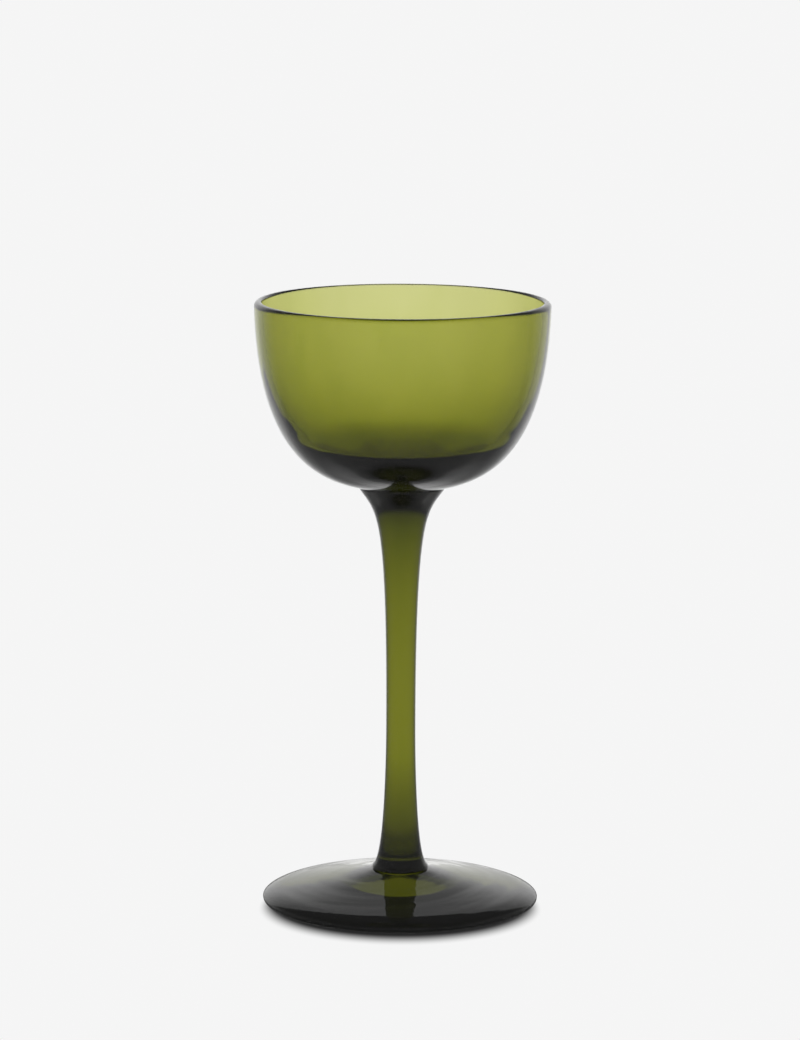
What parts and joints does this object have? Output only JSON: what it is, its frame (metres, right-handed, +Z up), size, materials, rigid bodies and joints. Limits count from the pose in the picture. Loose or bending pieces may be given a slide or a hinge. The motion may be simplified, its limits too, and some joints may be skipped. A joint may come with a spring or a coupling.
{
  "type": "cordial glass",
  "caption": "Stemmed cordial glass in olive green glass: a deep rounded bowl with a heavy base and fire-polished rim, a slender solid stem flared under the bowl, and a low cone-shaped foot.",
  "frame": {"origin": "middle of the plane that the foot stands on", "axes": "+Z up along the glass's own axis, from the foot to the rim; +X and +Y are any two level directions"},
  "size_m": [0.0658, 0.0656, 0.1357],
  "materials": {
    "olive_glass": "clear olive green glass, fire-polished"
  },
  "bodies": {
    "root": {"bowl": "olive_glass", "stem": "olive_glass", "foot": "olive_glass"}
  },
  "joints": []
}
